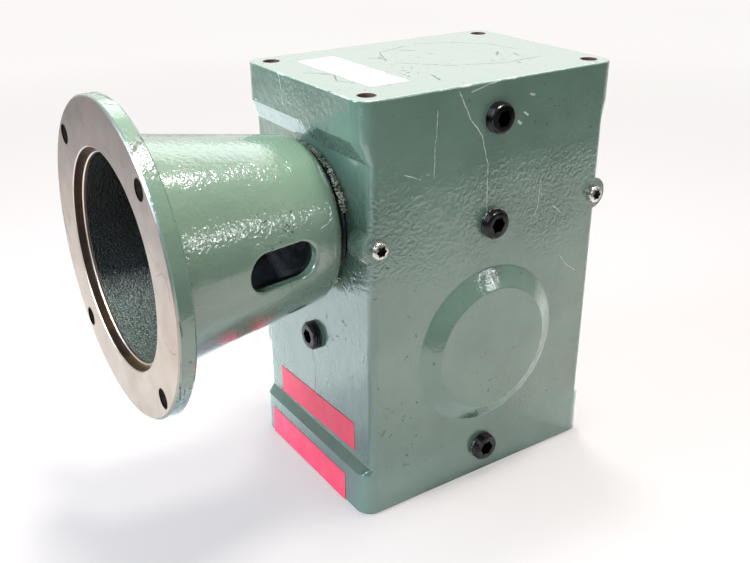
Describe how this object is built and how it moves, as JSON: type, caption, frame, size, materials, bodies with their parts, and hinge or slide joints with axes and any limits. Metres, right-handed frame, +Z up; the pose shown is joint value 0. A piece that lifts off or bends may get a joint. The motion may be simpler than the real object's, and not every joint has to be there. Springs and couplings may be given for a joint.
{
  "type": "worm gear speed reducer",
  "caption": "Right-angle worm gear speed reducer: upright cast housing, flared motor adapter at one side, keyed output shaft at the back.",
  "frame": {"origin": "centre of the housing's bottom face", "axes": "+X along the worm shaft, away from the motor adapter; +Y along the output shaft, towards its free end; +Z up"},
  "size_m": [0.282, 0.2301, 0.2524],
  "materials": {
    "enamel": "gloss enamel over sand-cast iron",
    "bell_enamel": "gloss enamel outside, machined iron on the motor face",
    "black_rubber": "smooth moulded",
    "plug_steel": "black oxide",
    "zinc_screw": "bright zinc plate",
    "cover_enamel": "gloss enamel over cast iron",
    "gasket_fibre": "compressed fibre",
    "bolt_steel": "zinc plate",
    "shaft_steel": "ground",
    "key_steel": "cold drawn",
    "bronze": "machined bronze",
    "hub_iron": "machined faces, cast pockets",
    "bearing_steel": "ground and polished",
    "cage_steel": "pressed sheet"
  },
  "bodies": {
    "housing_body": {"gear_housing": "enamel", "motor_adapter": "bell_enamel", "adapter_seal_ring": "black_rubber", "end_closure": "enamel", "closure_ring": "black_rubber", "lock_screws": "zinc_screw", "output_cover": "cover_enamel", "cover_gasket": "gasket_fibre", "cover_screws": "bolt_steel", "fill_plug": "plug_steel", "level_plug": "plug_steel", "drain_plug": "plug_steel", "side_plug": "plug_steel", "input_oil_seal": "black_rubber", "output_oil_seal": "black_rubber", "worm_bearing_input_cup": "bearing_steel", "worm_bearing_far_cup": "bearing_steel", "output_bearing_blind_cup": "bearing_steel", "output_bearing_cover_cup": "bearing_steel"},
    "wheel_body": {"output_shaft": "shaft_steel", "wheel_key": "key_steel", "wheel_hub": "hub_iron", "worm_wheel": "bronze", "wheel_pins": "key_steel", "spacer_sleeve": "key_steel", "output_bearing_blind_cone": "bearing_steel", "output_bearing_blind_rollers": "bearing_steel", "output_bearing_blind_cage": "cage_steel", "output_bearing_cover_cone": "bearing_steel", "output_bearing_cover_rollers": "bearing_steel", "output_bearing_cover_cage": "cage_steel"},
    "worm_body": {"worm_shaft": "shaft_steel", "worm_bearing_input_cone": "bearing_steel", "worm_bearing_input_rollers": "bearing_steel", "worm_bearing_input_cage": "cage_steel", "worm_bearing_far_cone": "bearing_steel", "worm_bearing_far_rollers": "bearing_steel", "worm_bearing_far_cage": "cage_steel"}
  },
  "joints": [
    {"name": "output_spin", "type": "hinge", "parent": "housing_body", "child": "wheel_body", "pos_m": [0, 0, 0.0905], "axis": [0, 1, 0], "continuous": true},
    {"name": "input_spin", "type": "hinge", "parent": "housing_body", "child": "worm_body", "pos_m": [0, 0, 0.16987], "axis": [1, 0, 0], "continuous": true}
  ],
  "couplings": [
    {"joint": "input_spin", "follows": "output_spin", "ratio": -20}
  ]
}
